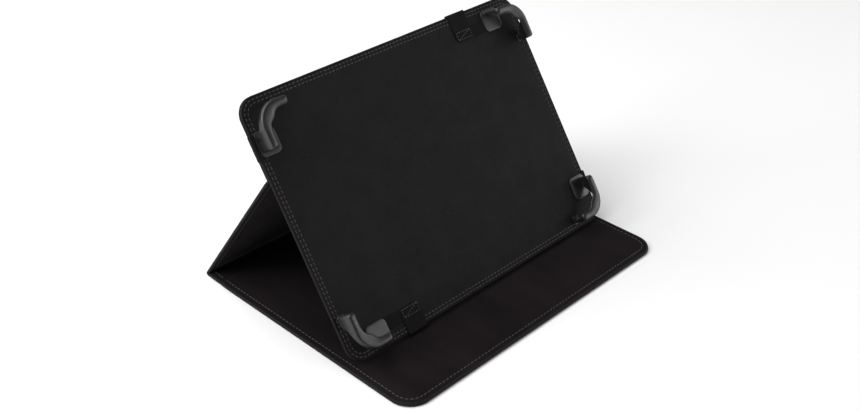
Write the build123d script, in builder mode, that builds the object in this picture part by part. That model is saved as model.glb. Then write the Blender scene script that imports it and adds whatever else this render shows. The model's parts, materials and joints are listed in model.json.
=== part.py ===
from build123d import *
import math
import os

# Folio case for a 10.1 inch tablet, standing open as a reading stand.
# +X runs along the folds, +Y points away from the reader, +Z is up.
# The origin is on the table, under the middle of the case.

# ---------------------------------------------------------------- driving sizes (mm)
TABLET_WIDTH = 256.7
TABLET_HEIGHT = 175.3
TABLET_CORNER_R = 13.0

COVER_WIDTH = 274.0
COVER_CORNER_R = 17.2
FRONT_LENGTH = 202.2        # front edge to the front fold axis
SPINE_LENGTH = 17.2         # front fold axis to the rear fold axis
TAPER_START = 189.1         # the sides start to draw in here, measured from the front edge
TAPER_R = 40.0
REAR_WIDTH = 272.0          # across the rear fold, and the rear leg

PANEL_WIDTH = 271.0         # upper back and holder
PANEL_CORNER_R = 13.7
HOLDER_TOP = 98.2           # holder edges, from the tablet's centre line
HOLDER_BOTTOM = -95.7
TOP_FOLD_HEIGHT = 41.4      # the top fold, from the tablet's centre line

LEAN_BACK = 34.3            # holder's lean from vertical, degrees
TABLET_CENTRE_Y = 99.64     # centre of the glass, behind the front edge
TABLET_CENTRE_Z = 91.22     # centre of the glass, above the table

SKIN = 0.7                  # outer leatherette of the cover
COVER_BOARD = 1.6
LINING = 0.7
RIM = 1.2                   # width of the skin's turned edge

LEG_SKIN = 0.6
LEG_BOARD = 1.2
LEG_LINING = 0.6

FACE_DEPTH = 10.8           # depths behind the glass plane
FACE_SHEET = 0.6
HOLDER_BOARD = 1.2
BACK_SHEET = 0.5
UPPER_BOARD = 0.9
UPPER_SKIN = 0.8

WEB_R = 1.2                 # flexible bead on each fold axis
WEB_TAB = 1.0
FRONT_GAP = 1.5             # board edge to the front fold axis
SPINE_REAR_GAP = 4.5        # board edges to the rear fold axis
LEG_LOW_GAP = 4.0
LEG_TOP_GAP = 1.6           # board edges to the top fold axis
UPPER_GAP = 1.8
MOVING_GAP = 0.3
EDGE_R = 1.0                # small corners at the folds
LEAST_R = 0.3               # corners of the boards inside them

STRAP_WIDTH = 18.0
STRAP_THICK = 0.8
STRAP_BULGE = 1.3           # how far a strap stands out from the panel edge
STRAP_TAIL = 22.0
STRAP_CLEAR = 0.1           # strap to the plane of the holder's face
STRAP_SIDE_MIDDLE = 64.7    # strap centres, from the tablet's centre lines
STRAP_TOP_MIDDLE = 74.3
PATCH_LENGTH = 12.0
PATCH_MARGIN = 3.5          # patch beyond the strap
PATCH_THICK = 0.6

LONG_REACH = 24.0           # the legs' ends along the long and short edges, from the tablet's corner
SHORT_REACH = 28.0
GRIP_OUTER = 2.8            # outside of the wall, beyond the tablet
GRIP_CLEAR = 0.4
LIP_FRONT = 2.8             # lip's front, ahead of the glass
LIP_CLEAR = 0.3
LIP_OVERHANG = 3.4
LIP_CORNER_R = 17.0
ARCH_TOP = 1.0              # the arch in the wall rises to this depth
ARCH_HALF = 14.5
ARCH_START = 10.0           # the arch is cut from this far outside the corner
ARCH_DEEP = 26.0
FOOT_THICK = 0.6
FOOT_START = 12.0
FOOT_END = 31.0
FOOT_INNER = 12.0
FOOT_OUTER = 5.2
EAR_LENGTH = 6.0
EAR_OUTER = 4.0
EAR_INNER = 3.0

# ---------------------------------------------------------------- derived places
depth_overall = FRONT_LENGTH + SPINE_LENGTH + WEB_R
front_y = -depth_overall / 2
fold_z = WEB_R
front_fold_y = front_y + FRONT_LENGTH
rear_fold_y = front_fold_y + SPINE_LENGTH

half_cover = COVER_WIDTH / 2
half_rear = REAR_WIDTH / 2
half_panel = PANEL_WIDTH / 2


def half_width_at(y):
    """Half the cover's width at y, straight at first and then drawn in towards the rear fold."""
    taper_y = front_y + TAPER_START
    if y <= taper_y:
        return half_cover
    share = (y - taper_y) / (rear_fold_y - taper_y)
    return half_cover + (half_rear - half_cover) * share


lean = math.radians(LEAN_BACK)
up_y = math.sin(lean)
up_z = math.cos(lean)
holder_plane = Plane(
    origin=(0, front_y + TABLET_CENTRE_Y, TABLET_CENTRE_Z),
    x_dir=(1, 0, 0),
    z_dir=(0, -up_z, up_y),
)

face_back = FACE_DEPTH + FACE_SHEET
board_back = face_back + HOLDER_BOARD
holder_back = board_back + BACK_SHEET
upper_board_back = holder_back + UPPER_BOARD
upper_back = upper_board_back + UPPER_SKIN

leg_thick = LEG_SKIN + LEG_BOARD + LEG_LINING
top_fold_depth = holder_back + MOVING_GAP + leg_thick / 2
top_fold_y = front_y + TABLET_CENTRE_Y + TOP_FOLD_HEIGHT * up_y + top_fold_depth * up_z
top_fold_z = TABLET_CENTRE_Z + TOP_FOLD_HEIGHT * up_z - top_fold_depth * up_y
leg_length = math.hypot(top_fold_y - rear_fold_y, top_fold_z - fold_z)
leg_dir_y = (top_fold_y - rear_fold_y) / leg_length
leg_dir_z = (top_fold_z - fold_z) / leg_length
leg_plane = Plane(
    origin=(0, rear_fold_y, fold_z),
    x_dir=(1, 0, 0),
    z_dir=(0, -leg_dir_z, leg_dir_y),
)

os.makedirs("parts", exist_ok=True)


def write(builder, name):
    """Label a finished piece and write it as its own node."""
    builder.part.label = name
    export_step(builder.part, f"parts/{name}.step")


def behind(depth):
    """The plane that lies this far behind the glass."""
    return holder_plane.offset(-depth)


# ---------------------------------------------------------------- outlines
def cover_outline(inset=0.0, mode=Mode.ADD):
    """Front cover seen from above: round front corners, sides drawn in at the back."""
    side = half_cover - inset
    end_y = front_fold_y - FRONT_GAP - inset
    end = half_width_at(end_y) - inset
    low = front_y + inset
    taper_y = front_y + TAPER_START
    corner = COVER_CORNER_R - inset
    with BuildLine() as edge:
        FilletPolyline(
            (-side, low), (side, low), (side, taper_y), (end, end_y), (-end, end_y), (-side, taper_y),
            radius=[corner, corner, TAPER_R, EDGE_R, EDGE_R, TAPER_R],
            close=True,
        )
    make_face(edge.edges(), mode=mode)


def strip_outline(half_low, half_high, low, high, radii, inset=0.0, mode=Mode.ADD):
    """Four-sided panel from low to high along the sketch's Y; radii are the low and high corners'."""
    low_r = max(radii[0] - inset, LEAST_R)
    high_r = max(radii[1] - inset, LEAST_R)
    a = half_low - inset
    b = half_high - inset
    with BuildLine() as edge:
        FilletPolyline(
            (-a, low + inset), (a, low + inset), (b, high - inset), (-b, high - inset),
            radius=[low_r, low_r, high_r, high_r],
            close=True,
        )
    make_face(edge.edges(), mode=mode)


# ---------------------------------------------------------------- front cover
with BuildPart() as front_cover_skin:
    with BuildSketch(Plane.XY):
        cover_outline()
    extrude(amount=SKIN)
    with BuildSketch(Plane.XY.offset(SKIN)):
        cover_outline()
        cover_outline(RIM, mode=Mode.SUBTRACT)
    extrude(amount=COVER_BOARD)
write(front_cover_skin, "front_cover_skin")

with BuildPart() as front_cover_board:
    with BuildSketch(Plane.XY.offset(SKIN)):
        cover_outline(RIM)
    extrude(amount=COVER_BOARD)
write(front_cover_board, "front_cover_board")

with BuildPart() as front_cover_lining:
    with BuildSketch(Plane.XY.offset(SKIN + COVER_BOARD)):
        cover_outline()
    extrude(amount=LINING)
write(front_cover_lining, "front_cover_lining")

# The front fold's web: a bead on the fold axis with a tab that is bonded to the cover's edge.
with BuildPart() as front_fold_web:
    with BuildSketch(Plane.YZ.offset(-half_width_at(front_fold_y))):
        with Locations((front_fold_y, fold_z)):
            Circle(WEB_R)
        with Locations((front_fold_y - FRONT_GAP / 2, fold_z)):
            Rectangle(FRONT_GAP, WEB_TAB)
    extrude(amount=2 * half_width_at(front_fold_y))
write(front_fold_web, "front_fold_web")

# ---------------------------------------------------------------- spine
spine_low = front_fold_y + FRONT_GAP
spine_high = rear_fold_y - SPINE_REAR_GAP
spine_sides = (half_width_at(spine_low), half_width_at(spine_high), spine_low, spine_high)
spine_corners = (EDGE_R, EDGE_R)

with BuildPart() as spine_skin:
    with BuildSketch(Plane.XY):
        strip_outline(*spine_sides, spine_corners)
    extrude(amount=SKIN)
    with BuildSketch(Plane.XY.offset(SKIN)):
        strip_outline(*spine_sides, spine_corners)
        strip_outline(*spine_sides, spine_corners, RIM, Mode.SUBTRACT)
    extrude(amount=COVER_BOARD)
write(spine_skin, "spine_skin")

with BuildPart() as spine_board:
    with BuildSketch(Plane.XY.offset(SKIN)):
        strip_outline(*spine_sides, spine_corners, RIM)
    extrude(amount=COVER_BOARD)
write(spine_board, "spine_board")

with BuildPart() as spine_lining:
    with BuildSketch(Plane.XY.offset(SKIN + COVER_BOARD)):
        strip_outline(*spine_sides, spine_corners)
    extrude(amount=LINING)
write(spine_lining, "spine_lining")

with BuildPart() as rear_fold_web:
    with BuildSketch(Plane.YZ.offset(-half_rear)):
        with Locations((rear_fold_y, fold_z)):
            Circle(WEB_R)
        with Locations((rear_fold_y - SPINE_REAR_GAP / 2, fold_z)):
            Rectangle(SPINE_REAR_GAP, WEB_TAB)
    extrude(amount=REAR_WIDTH)
write(rear_fold_web, "rear_fold_web")

# ---------------------------------------------------------------- rear leg
# On leg_plane, Y climbs the leg from the rear fold and Z points in, to the holder.
leg_sides = (half_rear, half_rear, LEG_LOW_GAP, leg_length - LEG_TOP_GAP)
leg_outer = -leg_thick / 2

with BuildPart() as leg_skin:
    with BuildSketch(leg_plane.offset(leg_outer)):
        strip_outline(*leg_sides, spine_corners)
    extrude(amount=LEG_SKIN)
    with BuildSketch(leg_plane.offset(leg_outer + LEG_SKIN)):
        strip_outline(*leg_sides, spine_corners)
        strip_outline(*leg_sides, spine_corners, RIM, Mode.SUBTRACT)
    extrude(amount=LEG_BOARD)
write(leg_skin, "leg_skin")

with BuildPart() as leg_board:
    with BuildSketch(leg_plane.offset(leg_outer + LEG_SKIN)):
        strip_outline(*leg_sides, spine_corners, RIM)
    extrude(amount=LEG_BOARD)
write(leg_board, "leg_board")

with BuildPart() as leg_lining:
    with BuildSketch(leg_plane.offset(leg_outer + LEG_SKIN + LEG_BOARD)):
        strip_outline(*leg_sides, spine_corners)
    extrude(amount=LEG_LINING)
write(leg_lining, "leg_lining")

# The top fold's web rides on the leg: its tab runs down into the leg's edge.
web_plane = Plane(
    origin=(-half_panel, top_fold_y, top_fold_z),
    x_dir=(0, leg_dir_y, leg_dir_z),
    z_dir=(1, 0, 0),
)
with BuildPart() as top_fold_web:
    with BuildSketch(web_plane):
        Circle(WEB_R)
        with Locations((-LEG_TOP_GAP / 2, 0)):
            Rectangle(LEG_TOP_GAP, WEB_TAB)
    extrude(amount=PANEL_WIDTH)
write(top_fold_web, "top_fold_web")

# ---------------------------------------------------------------- holder and upper back
# On the holder's planes, X is +X and Y climbs the holder, both from the tablet's centre.
holder_sides = (half_panel, half_panel, HOLDER_BOTTOM, HOLDER_TOP)
holder_corners = (PANEL_CORNER_R, PANEL_CORNER_R)
upper_sides = (half_panel, half_panel, TOP_FOLD_HEIGHT + UPPER_GAP, HOLDER_TOP)
upper_corners = (EDGE_R, PANEL_CORNER_R)

with BuildPart() as holder_face:
    with BuildSketch(behind(face_back)):
        strip_outline(*holder_sides, holder_corners)
    extrude(amount=FACE_SHEET)
write(holder_face, "holder_face")

with BuildPart() as holder_board:
    with BuildSketch(behind(board_back)):
        strip_outline(*holder_sides, holder_corners, RIM)
    extrude(amount=HOLDER_BOARD)
write(holder_board, "holder_board")

# The holder's back sheet turns up round the board to meet the face.
with BuildPart() as holder_back_skin:
    with BuildSketch(behind(holder_back)):
        strip_outline(*holder_sides, holder_corners)
    extrude(amount=BACK_SHEET)
    with BuildSketch(behind(board_back)):
        strip_outline(*holder_sides, holder_corners)
        strip_outline(*holder_sides, holder_corners, RIM, Mode.SUBTRACT)
    extrude(amount=HOLDER_BOARD)
write(holder_back_skin, "holder_back_skin")

# ---------------------------------------------------------------- straps
# Each strap leaves the foot of its grip, turns round the panel's edge and is bonded to the back.
# A strap's own sketch plane is square to the edge: X points out of the panel, Y towards the reader.
strap_edges = {
    "strap_top_left": {"out": (-1, 0), "edge": half_panel, "along": STRAP_SIDE_MIDDLE},
    "strap_top_right": {"out": (0, 1), "edge": HOLDER_TOP, "along": STRAP_TOP_MIDDLE},
    "strap_bottom_right": {"out": (1, 0), "edge": half_panel, "along": -STRAP_SIDE_MIDDLE},
    "strap_bottom_left": {"out": (0, -1), "edge": -HOLDER_BOTTOM, "along": -STRAP_TOP_MIDDLE},
}


def strap_plane(strap, half_span):
    """Plane at one side of a strap, square to the panel's edge, with its origin on the edge line."""
    out_u, out_v = strap["out"]
    side_u, side_v = out_v, -out_u
    local = Vector(
        out_u * strap["edge"] + abs(out_v) * strap["along"] - side_u * half_span,
        out_v * strap["edge"] + abs(out_u) * strap["along"] - side_v * half_span,
        0,
    )
    out_dir = holder_plane.x_dir * out_u + holder_plane.y_dir * out_v
    side_dir = holder_plane.x_dir * side_u + holder_plane.y_dir * side_v
    return Plane(origin=holder_plane.from_local_coords(local), x_dir=out_dir, z_dir=side_dir)


def strap_tail(back, start=0.0, length=STRAP_TAIL):
    """Section of a strap's tail, or of what covers it, from the holder's back to this depth."""
    with Locations((start - length / 2, -(holder_back + back) / 2)):
        Rectangle(length, back - holder_back)


tail_back = holder_back + STRAP_THICK
strap_front = FACE_DEPTH + STRAP_CLEAR
for name, strap in strap_edges.items():
    with BuildPart() as elastic_strap:
        with BuildSketch(strap_plane(strap, STRAP_WIDTH / 2)):
            with Locations((STRAP_BULGE / 2, -(strap_front + tail_back) / 2)):
                Rectangle(STRAP_BULGE, tail_back - strap_front)
            strap_tail(tail_back)
        extrude(amount=STRAP_WIDTH)
    write(elastic_strap, name)

# The two lower tails end under a stitched patch; the two upper ones end inside the upper back.
patch_width = STRAP_WIDTH + 2 * PATCH_MARGIN
patch_start = PATCH_LENGTH - PATCH_MARGIN - STRAP_TAIL
for name in ("strap_bottom_right", "strap_bottom_left"):
    strap = strap_edges[name]
    with BuildPart() as strap_patch:
        with BuildSketch(strap_plane(strap, patch_width / 2)):
            strap_tail(tail_back + PATCH_THICK, patch_start, PATCH_LENGTH)
        extrude(amount=patch_width)
        with BuildSketch(strap_plane(strap, STRAP_WIDTH / 2)):
            strap_tail(tail_back)
        extrude(amount=STRAP_WIDTH, mode=Mode.SUBTRACT)
    write(strap_patch, name.replace("strap", "strap_patch"))

with BuildPart() as upper_back_board:
    with BuildSketch(behind(upper_board_back)):
        strip_outline(*upper_sides, upper_corners, RIM)
    extrude(amount=UPPER_BOARD)
    for name in ("strap_top_left", "strap_top_right"):
        with BuildSketch(strap_plane(strap_edges[name], STRAP_WIDTH / 2)):
            strap_tail(upper_board_back)
        extrude(amount=STRAP_WIDTH, mode=Mode.SUBTRACT)
write(upper_back_board, "upper_back_board")

# The upper back's skin turns over the board's edge, and lets the two straps through.
with BuildPart() as upper_back_skin:
    with BuildSketch(behind(upper_back)):
        strip_outline(*upper_sides, upper_corners)
    extrude(amount=UPPER_SKIN)
    with BuildSketch(behind(upper_board_back)):
        strip_outline(*upper_sides, upper_corners)
        strip_outline(*upper_sides, upper_corners, RIM, Mode.SUBTRACT)
    extrude(amount=UPPER_BOARD)
    for name in ("strap_top_left", "strap_top_right"):
        with BuildSketch(strap_plane(strap_edges[name], STRAP_WIDTH / 2)):
            strap_tail(upper_board_back)
        extrude(amount=STRAP_WIDTH, mode=Mode.SUBTRACT)
write(upper_back_skin, "upper_back_skin")

# ---------------------------------------------------------------- corner grips
# Sketches are drawn from the tablet's corner: X runs in along its long edge, Y in along its short one.
foot_back = FACE_DEPTH - MOVING_GAP
arch_drop = foot_back - ARCH_TOP
arch_r = (ARCH_HALF ** 2 + arch_drop ** 2) / (2 * arch_drop)


def grip_band(inner, inner_r):
    """The grip's L-shaped band round the tablet's corner, with its inner edge at this place."""
    with BuildLine() as edge:
        FilletPolyline(
            (LONG_REACH, -GRIP_OUTER), (-GRIP_OUTER, -GRIP_OUTER), (-GRIP_OUTER, SHORT_REACH),
            (inner, SHORT_REACH), (inner, inner), (LONG_REACH, inner),
            radius=[EDGE_R, TABLET_CORNER_R + GRIP_OUTER, EDGE_R, EDGE_R, inner_r, EDGE_R],
            close=True,
        )
    make_face(edge.edges())


def tab(long_side, start, end, outer, inner):
    """A flat tab under one leg of the grip, along the long or the short side."""
    along = (start + end) / 2
    across = (inner - outer) / 2
    if long_side:
        with Locations((along, across)):
            RectangleRounded(end - start, inner + outer, EDGE_R)
    else:
        with Locations((across, along)):
            RectangleRounded(inner + outer, end - start, EDGE_R)


grips = {
    "corner_grip_top_left": {"side": (-1, 1), "foot_on_long": False},
    "corner_grip_top_right": {"side": (1, 1), "foot_on_long": True},
    "corner_grip_bottom_right": {"side": (1, -1), "foot_on_long": False},
    "corner_grip_bottom_left": {"side": (-1, -1), "foot_on_long": True},
}

for name, grip in grips.items():
    side_u, side_v = grip["side"]
    facing = side_u * side_v
    corner = holder_plane.from_local_coords(
        Vector(side_u * TABLET_WIDTH / 2, side_v * TABLET_HEIGHT / 2, 0)
    )
    corner_plane = Plane(
        origin=corner, x_dir=holder_plane.x_dir * -side_u, z_dir=holder_plane.z_dir * facing
    )
    diagonal = (corner_plane.x_dir + corner_plane.y_dir).normalized()
    arch_centre = corner - holder_plane.z_dir * (ARCH_TOP + arch_r)
    arch_plane = Plane(origin=arch_centre - diagonal * ARCH_START, x_dir=holder_plane.z_dir, z_dir=diagonal)

    with BuildPart() as corner_grip:
        with BuildSketch(corner_plane.offset(-facing * foot_back)):
            grip_band(-GRIP_CLEAR, TABLET_CORNER_R + GRIP_CLEAR)
        extrude(amount=facing * (foot_back + LIP_FRONT))
        with BuildSketch(arch_plane):
            Circle(arch_r)
        extrude(amount=ARCH_DEEP, mode=Mode.SUBTRACT)
        with BuildSketch(corner_plane.offset(facing * LIP_CLEAR)):
            grip_band(LIP_OVERHANG, LIP_CORNER_R)
        extrude(amount=facing * (LIP_FRONT - LIP_CLEAR))
        with BuildSketch(corner_plane.offset(-facing * foot_back)):
            tab(grip["foot_on_long"], FOOT_START, FOOT_END, FOOT_OUTER, FOOT_INNER)
        extrude(amount=facing * FOOT_THICK)
        with BuildSketch(corner_plane.offset(-facing * foot_back)):
            ear_end = SHORT_REACH if grip["foot_on_long"] else LONG_REACH
            tab(not grip["foot_on_long"], ear_end - EAR_LENGTH, ear_end, EAR_OUTER, EAR_INNER)
        extrude(amount=facing * FOOT_THICK)
    write(corner_grip, name)

print(f"fold axes: front y {front_fold_y:.3f}, rear y {rear_fold_y:.3f}, z {fold_z:.3f}")
print(f"top fold y {top_fold_y:.3f} z {top_fold_z:.3f}, leg {leg_length:.3f}")
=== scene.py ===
import bmesh
import bpy
import json
import math
import numpy as np
from mathutils import Matrix, Vector


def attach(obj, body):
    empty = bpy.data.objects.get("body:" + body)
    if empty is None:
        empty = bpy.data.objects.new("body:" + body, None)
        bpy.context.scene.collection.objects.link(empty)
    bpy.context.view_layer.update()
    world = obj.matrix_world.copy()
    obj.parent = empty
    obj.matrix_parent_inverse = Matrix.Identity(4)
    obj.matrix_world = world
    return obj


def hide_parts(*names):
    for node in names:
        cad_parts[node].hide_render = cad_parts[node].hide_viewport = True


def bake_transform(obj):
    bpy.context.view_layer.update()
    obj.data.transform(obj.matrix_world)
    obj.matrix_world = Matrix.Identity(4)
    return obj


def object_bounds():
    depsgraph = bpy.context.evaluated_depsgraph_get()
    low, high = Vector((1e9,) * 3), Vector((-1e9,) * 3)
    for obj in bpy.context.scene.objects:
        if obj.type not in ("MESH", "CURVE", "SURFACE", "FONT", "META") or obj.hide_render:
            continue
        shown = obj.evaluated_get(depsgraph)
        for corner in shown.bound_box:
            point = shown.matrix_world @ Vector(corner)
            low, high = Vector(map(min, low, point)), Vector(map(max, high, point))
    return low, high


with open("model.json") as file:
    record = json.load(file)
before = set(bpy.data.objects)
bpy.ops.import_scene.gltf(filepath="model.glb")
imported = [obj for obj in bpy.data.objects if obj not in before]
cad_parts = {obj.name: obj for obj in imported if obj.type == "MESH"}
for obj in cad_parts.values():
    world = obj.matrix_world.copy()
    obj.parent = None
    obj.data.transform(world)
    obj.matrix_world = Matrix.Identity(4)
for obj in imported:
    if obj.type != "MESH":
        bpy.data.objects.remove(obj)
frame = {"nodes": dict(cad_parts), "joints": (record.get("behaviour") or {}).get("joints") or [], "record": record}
cad_low, cad_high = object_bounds()

# Lengths below are in millimetres; build() turns them into metres.
MM = 0.001

# ---------------- sizes shared with the frame
COVER_WIDTH = 274.0
COVER_CORNER_R = 17.2
TAPER_START = 189.1
REAR_WIDTH = 272.0
PANEL_WIDTH = 271.0
PANEL_CORNER_R = 13.7
HOLDER_TOP = 98.2
HOLDER_BOTTOM = -95.7
TOP_FOLD_HEIGHT = 41.4
TABLET_HALF_WIDTH = 128.35
TABLET_HALF_HEIGHT = 87.65
TABLET_CORNER_R = 13.0
FACE_DEPTH = 10.8
HOLDER_BACK = 13.1
UPPER_BACK = 14.8
COVER_THICK = 3.0
LEG_THICK = 2.4
FRONT_GAP = 1.5
SPINE_REAR_GAP = 4.5
LEG_LOW_GAP = 4.0
LEG_TOP_GAP = 1.6
UPPER_GAP = 1.8

joints = {joint["name"]: joint for joint in frame["joints"]}
mounts = {mount["name"]: mount for mount in frame["record"]["mounts"]}
front_fold = np.array(joints["front_fold"]["pos_m"]) / MM
rear_fold = np.array(joints["rear_fold"]["pos_m"]) / MM
top_fold = np.array(joints["top_fold"]["pos_m"]) / MM
front_y = cad_low[1] / MM


def place(origin, x_dir, z_dir):
    """A local frame as a 4x4: origin in millimetres, X and Z given, Y from them."""
    x = np.array(x_dir, float) / np.linalg.norm(x_dir)
    z = np.array(z_dir, float) / np.linalg.norm(z_dir)
    matrix = np.eye(4)
    matrix[:3, 0], matrix[:3, 1], matrix[:3, 2], matrix[:3, 3] = x, np.cross(z, x), z, origin
    return matrix


bay_normal = np.array(mounts["tablet_bay"]["axis"])
bay_face = np.array(mounts["tablet_bay"]["pos_m"]) / MM
TABLE = np.eye(4)
# On HOLDER, X is +X, Y climbs the holder, and Z comes forward from the glass plane.
HOLDER = place(bay_face + bay_normal * FACE_DEPTH, (1, 0, 0), bay_normal)
# On LEG, Y climbs the leg from the rear fold and Z points in, to the holder.
leg_dir = (top_fold - rear_fold) / np.linalg.norm(top_fold - rear_fold)
leg_length = float(np.linalg.norm(top_fold - rear_fold))
LEG = place(rear_fold, (1, 0, 0), (0, -leg_dir[2], leg_dir[1]))


def to_table(matrix, points):
    """Points of a local frame in the row frame, still in millimetres."""
    return np.asarray(points, float) @ matrix[:3, :3].T + matrix[:3, 3]


# ---------------- making meshes
def build(name, points, faces, matrix=TABLE, material=None, uvs=None):
    """A smooth mesh object from local millimetre points; faces are index lists."""
    mesh = bpy.data.meshes.new(name)
    mesh.from_pydata([tuple(p) for p in to_table(matrix, points) * MM], [], [tuple(f) for f in faces])
    if uvs is not None:
        layer = mesh.uv_layers.new(name="UVMap")
        for loop in mesh.loops:
            layer.data[loop.index].uv = uvs[loop.vertex_index]
    obj = bpy.data.objects.new(name, mesh)
    bpy.context.scene.collection.objects.link(obj)
    work = bmesh.new()
    work.from_mesh(mesh)
    bmesh.ops.recalc_face_normals(work, faces=work.faces)
    work.to_mesh(mesh)
    work.free()
    for polygon in mesh.polygons:
        polygon.use_smooth = True
    if material:
        mesh.materials.append(material)
    return obj


def join(name, objects):
    """One object from several."""
    for other in bpy.context.selected_objects:
        other.select_set(False)
    for obj in objects:
        obj.select_set(True)
    bpy.context.view_layer.objects.active = objects[0]
    bpy.ops.object.join()
    objects[0].name = name
    objects[0].data.name = name
    return objects[0]


def subdivide(obj, levels):
    """Smooths a cage with a subdivision surface and applies it."""
    modifier = obj.modifiers.new("smooth", "SUBSURF")
    modifier.levels = levels
    modifier.render_levels = levels
    bpy.context.view_layer.objects.active = obj
    bpy.ops.object.modifier_apply(modifier=modifier.name)
    for polygon in obj.data.polygons:
        polygon.use_smooth = True


# ---------------- polylines
def distances(points):
    """How far along a polyline each of its points lies."""
    return np.concatenate(([0.0], np.cumsum(np.linalg.norm(np.diff(points, axis=0), axis=1))))


def points_at(points, far, at):
    """Points of a polyline at given distances along it; far is what distances() gives."""
    return np.column_stack([np.interp(at, far, points[:, k]) for k in range(points.shape[1])])


def run(points, count):
    """count points evenly spaced along a polyline, from end to end."""
    points = np.array(points, float)
    far = distances(points)
    return points_at(points, far, np.linspace(0, far[-1], count))


def smooth(points, times=2):
    """Cuts a polyline's corners, keeping its ends."""
    points = np.array(points, float)
    for _ in range(times):
        cut = [points[0]]
        for a, b in zip(points[:-1], points[1:]):
            cut += [a * 0.75 + b * 0.25, a * 0.25 + b * 0.75]
        points = np.array(cut + [points[-1]])
    return points


def arc(centre, radius, start, end, steps):
    """Points (y, z) on an arc; angles in radians from +Y towards +Z."""
    return [
        (centre[0] + radius * math.cos(a), centre[1] + radius * math.sin(a))
        for a in np.linspace(start, end, steps)
    ]


def lift(points, z):
    """Points (x, y) as (x, y, z)."""
    return [(x, y, z) for x, y in points]


def closed(loop):
    """A loop with its first point again at its end."""
    return list(loop) + [loop[0]]


def inner_run(loop, keep):
    """The part of a closed loop where keep is true, in order, as one open run."""
    flags = [bool(keep(x, y)) for x, y in loop]
    start = next(k for k in range(len(loop)) if flags[k] and not flags[k - 1])
    points = []
    for k in range(len(loop)):
        index = (start + k) % len(loop)
        if not flags[index]:
            break
        points.append(loop[index])
    return points


# ---------------- outlines and panels
ARC_STEPS = 10
SLIGHT_STEPS = 2
SLIGHT_TURN = 0.3
SIDE_STEP = 4.0
SMALLEST_R = 0.35


def loop_of(corners, inset=0.0, shares=None):
    """Points round a convex outline of (x, y, radius) corners, its sides drawn in by inset times
    their share. The count of points doesn't depend on the inset, so that loops can be bridged."""
    count = len(corners)
    shares = shares or [1.0] * count
    base = np.array([c[:2] for c in corners], float)
    sides = [base[(i + 1) % count] - base[i] for i in range(count)]
    units = [side / np.linalg.norm(side) for side in sides]
    inward = [np.array((-u[1], u[0])) for u in units]
    bends = []
    for i in range(count):
        before, after = units[i - 1], units[i]
        turn = math.acos(np.clip(before @ after, -1, 1))
        drawn = np.array((inset * shares[i - 1], inset * shares[i]))
        apex = base[i] + np.linalg.solve(np.array((inward[i - 1], inward[i])), drawn)
        radius = max(corners[i][2] - drawn.min(), SMALLEST_R)
        tangent = radius * math.tan(turn / 2)
        bends.append((apex - before * tangent, apex + after * tangent, turn, radius))
    points = []
    for i, (enter, leave, turn, radius) in enumerate(bends):
        centre = enter + inward[i - 1] * radius
        start = enter - centre
        steps = ARC_STEPS if turn > SLIGHT_TURN else SLIGHT_STEPS
        for angle in np.linspace(0, turn, steps + 1):
            c, s = math.cos(angle), math.sin(angle)
            points.append(centre + (start[0] * c - start[1] * s, start[0] * s + start[1] * c))
        pieces = max(2, int(np.linalg.norm(sides[i]) / SIDE_STEP))
        following = bends[(i + 1) % count][0]
        points += [leave + (following - leave) * k / pieces for k in range(1, pieces)]
    return np.array(points)


def rectangle(half_width, low, high, low_r, high_r):
    """Corners of an upright rectangle, with one radius at its foot and one at its top."""
    foot = [(-half_width, low, low_r), (half_width, low, low_r)]
    return foot + [(half_width, high, high_r), (-half_width, high, high_r)]


def rings_to_faces(ring_count, size):
    """Quads between closed rings of points that follow each other in one list."""
    faces = []
    for ring in range(ring_count - 1):
        for k in range(size):
            a = ring * size + k
            b = ring * size + (k + 1) % size
            faces.append((a, b, b + size, a + size))
    return faces


def undulation(x, y):
    """The slight unevenness of a covered board, between about -1 and 1."""
    return (
        0.6 * math.sin(x * 0.041 + 1.3) * math.sin(y * 0.053 + 0.4)
        + 0.3 * math.sin(x * 0.083 + y * 0.061)
        + 0.2 * math.sin(x * 0.137 - y * 0.119 + 2.0)
    )


def cap(obj, indices_for):
    """Fills every open loop of obj; indices_for gives a new face's material from its local centre."""
    work = bmesh.new()
    work.from_mesh(obj.data)
    open_edges = [edge for edge in work.edges if edge.is_boundary]
    for face in bmesh.ops.edgeloop_fill(work, edges=open_edges)["faces"]:
        face.smooth = True
        face.material_index = indices_for(face.calc_center_median())
    bmesh.ops.recalc_face_normals(work, faces=work.faces)
    work.to_mesh(obj.data)
    work.free()
    return obj


FILL_RINGS = 9
FILL_REACH = 0.97
UNEVEN = 0.07


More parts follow.
